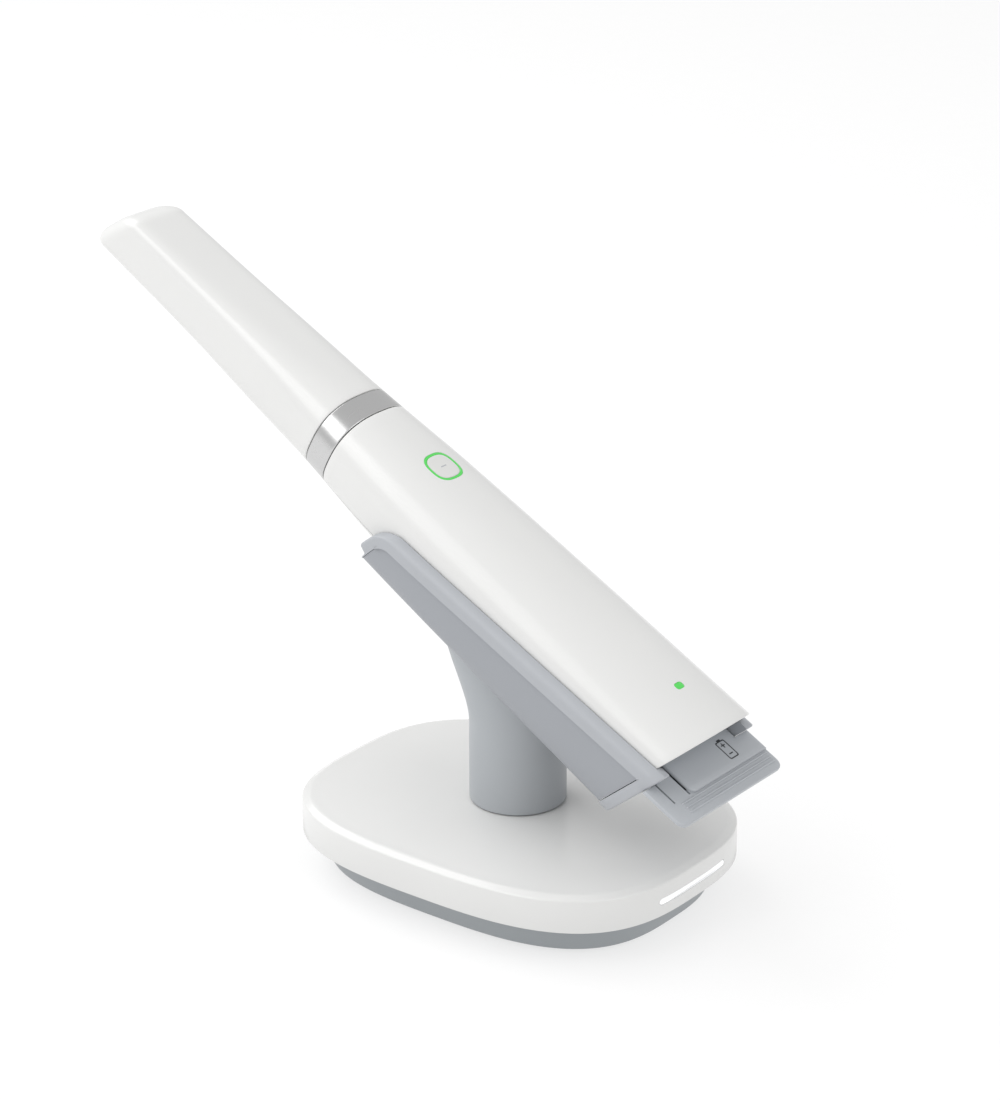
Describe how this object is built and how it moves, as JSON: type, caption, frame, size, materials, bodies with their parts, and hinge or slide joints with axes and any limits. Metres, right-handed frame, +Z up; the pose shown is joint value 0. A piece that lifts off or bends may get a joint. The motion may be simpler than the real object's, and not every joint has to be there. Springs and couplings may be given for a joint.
{
  "type": "intraoral scanner",
  "caption": "Wireless dental scanner with a slim mirror tip, lying in a slanted cradle on a weighted charging stand.",
  "frame": {"origin": "centre of the stand's underside, on the surface it stands on", "axes": "+Z up, +X along the stand towards the battery end of the handpiece, +Y across the stand"},
  "size_m": [0.2521, 0.1064, 0.1969],
  "materials": {
    "white_plastic": "satin white moulding",
    "button_plastic": "satin white moulding",
    "silver_trim": "satin silver plating",
    "cradle_rim_plastic": "light grey moulding",
    "cradle_panel_plastic": "mid grey moulding",
    "stem_plastic": "mid grey moulding",
    "pan_plastic": "dark grey moulding",
    "grip_plastic": "grey moulding",
    "dark_plastic": "black moulding",
    "rubber": "soft black rubber",
    "mirror_glass": "front-silvered glass",
    "window_glass": "clear coated glass",
    "green_light": "green light guide",
    "white_light": "white light guide",
    "cast_aluminium": "plain metal",
    "ballast_steel": "plain steel plate",
    "steel": "plain steel",
    "gold_plating": "gold plating",
    "circuit_board": "green solder mask",
    "cell_sleeve": "blue sleeve over a metal can",
    "lens_barrel": "black anodised barrel"
  },
  "bodies": {
    "stand_and_handpiece": {"base_pan": "pan_plastic", "base_cover": "white_plastic", "base_screw_1": "cast_aluminium", "base_screw_2": "cast_aluminium", "base_screw_3": "cast_aluminium", "base_screw_4": "cast_aluminium", "rubber_sole": "rubber", "ballast_plate": "ballast_steel", "charge_board": "circuit_board", "light_bar": "white_light", "light_board": "circuit_board", "power_inlet": "cast_aluminium", "inlet_tongue": "dark_plastic", "stem": "stem_plastic", "stem_screw_1": "cast_aluminium", "stem_screw_2": "cast_aluminium", "stem_screw_3": "cast_aluminium", "cradle_tray": "cradle_rim_plastic", "cradle_housing": "cradle_panel_plastic", "contact_block": "dark_plastic", "dock_contact_1": "gold_plating", "dock_contact_2": "gold_plating", "dock_contact_3": "gold_plating", "upper_housing": "white_plastic", "belly_cover": "white_plastic", "belly_screw_1": "steel", "belly_screw_2": "steel", "belly_screw_3": "steel", "belly_screw_4": "steel", "trim_ring": "silver_trim", "optics_nose": "dark_plastic", "nose_window": "window_glass", "tip_seal": "rubber", "button_light_ring": "green_light", "button_switch": "dark_plastic", "status_light": "green_light", "chassis": "cast_aluminium", "optics_holder": "cast_aluminium", "camera_module_left": "lens_barrel", "camera_module_right": "lens_barrel", "projector_module": "dark_plastic", "main_board": "circuit_board", "board_standoff_1": "gold_plating", "board_standoff_2": "gold_plating", "board_standoff_3": "gold_plating", "board_standoff_4": "gold_plating", "battery_socket": "dark_plastic", "charge_pad_1": "gold_plating", "charge_pad_2": "gold_plating", "charge_pad_3": "gold_plating"},
    "tip": {"scan_tip": "white_plastic", "tip_mirror": "mirror_glass"},
    "battery_pack": {"battery_case": "dark_plastic", "battery_cell_left": "cell_sleeve", "battery_cell_right": "cell_sleeve", "battery_grip": "grip_plastic", "battery_terminal_1": "gold_plating", "battery_terminal_2": "gold_plating"},
    "button": {"scan_button": "button_plastic"}
  },
  "joints": [
    {"name": "tip_slide", "type": "slide", "parent": "stand_and_handpiece", "child": "tip", "axis": [-0.8788, 0, 0.4772], "range_m": [0, 0.05]},
    {"name": "battery_slide", "type": "slide", "parent": "stand_and_handpiece", "child": "battery_pack", "axis": [0.8788, 0, -0.4772], "range_m": [0, 0.06]},
    {"name": "button_press", "type": "slide", "parent": "stand_and_handpiece", "child": "button", "axis": [-0.4772, 0, -0.8788], "range_m": [0, 0.0005], "stiffness_N_per_m": 1500, "springref_m": -0.0003}
  ]
}
